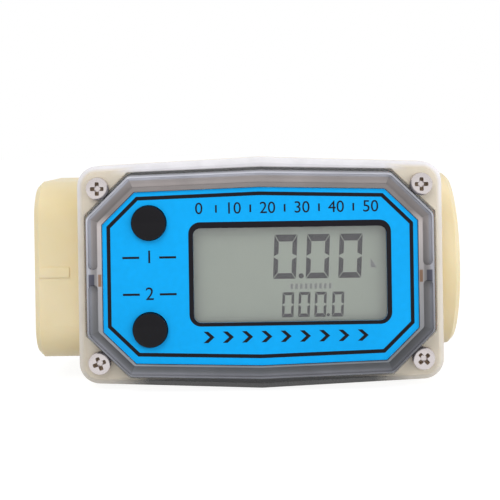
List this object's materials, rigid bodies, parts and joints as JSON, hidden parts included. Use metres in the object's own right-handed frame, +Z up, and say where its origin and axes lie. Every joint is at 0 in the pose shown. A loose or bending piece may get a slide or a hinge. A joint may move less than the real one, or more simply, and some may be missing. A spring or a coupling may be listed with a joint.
{
  "type": "digital turbine flow meter",
  "caption": "In-line turbine flow meter with threaded ports, a clear screwed cover, a liquid crystal display and push buttons.",
  "frame": {"origin": "centre of the inlet mouth, on the flow axis", "axes": "+X runs with the flow from inlet to outlet, the display faces -Y, +Z is up"},
  "size_m": [0.106, 0.058, 0.056],
  "materials": {
    "nylon_body": "moulded nylon, cream, satin",
    "clear_cover": "clear moulded polycarbonate",
    "seal_rubber": "matt black",
    "screw_steel": "bright, zinc plated",
    "label_film": "printed film, satin blue",
    "display_glass": "clear",
    "reflector_film": "grey-green film",
    "frame_plastic": "black, satin",
    "zebra_rubber": "matt",
    "board_laminate": "solder mask over glass laminate",
    "switch_plastic": "black, matt",
    "chip_epoxy": "black moulded epoxy",
    "crystal_can": "bright can",
    "copper_wire": "enamelled copper wire",
    "core_iron": "ground",
    "cell_jacket": "plain printed sleeve",
    "contact_metal": "nickel plated",
    "shaft_steel": "ground",
    "bush_ceramic": "ground",
    "guide_plastic": "moulded, natural",
    "spring_steel": "oiled spring steel",
    "rotor_plastic": "moulded, natural white",
    "magnet_ferrite": "ground ferrite",
    "button_plastic": "black, glossy"
  },
  "bodies": {
    "root": {"flow_body": "nylon_body", "front_cover": "clear_cover", "cover_seal": "seal_rubber", "cover_screws": "screw_steel", "face_label": "label_film", "display_glass": "display_glass", "display_reflector": "reflector_film", "display_frame": "frame_plastic", "contact_strips": "zebra_rubber", "circuit_board": "board_laminate", "board_screws": "screw_steel", "tact_switches": "switch_plastic", "controller_chip": "chip_epoxy", "clock_crystal": "crystal_can", "coil_bobbin": "frame_plastic", "coil_winding": "copper_wire", "coil_core": "core_iron", "battery_tray": "frame_plastic", "tray_screws": "screw_steel", "battery_upper": "cell_jacket", "battery_lower": "cell_jacket", "contact_plates": "contact_metal", "contact_springs": "contact_metal", "rotor_shaft": "shaft_steel", "thrust_washers": "bush_ceramic", "inlet_guide": "guide_plastic", "outlet_guide": "guide_plastic", "inlet_snap_ring": "spring_steel", "outlet_snap_ring": "spring_steel"},
    "rotor": {"rotor": "rotor_plastic", "rotor_bushes": "bush_ceramic", "rotor_magnets": "magnet_ferrite"},
    "display_key": {"display_button": "button_plastic", "display_button_ring": "seal_rubber"},
    "calibrate_key": {"calibrate_button": "button_plastic", "calibrate_button_ring": "seal_rubber"}
  },
  "joints": [
    {"name": "rotor_spin", "type": "hinge", "parent": "root", "child": "rotor", "pos_m": [0.05625, 0, 0], "axis": [1, 0, 0], "continuous": true},
    {"name": "display_press", "type": "slide", "parent": "root", "child": "display_key", "axis": [0, 1, 0], "range_m": [0, 0.0005], "stiffness_N_per_m": 800},
    {"name": "calibrate_press", "type": "slide", "parent": "root", "child": "calibrate_key", "axis": [0, 1, 0], "range_m": [0, 0.0005], "stiffness_N_per_m": 800}
  ]
}
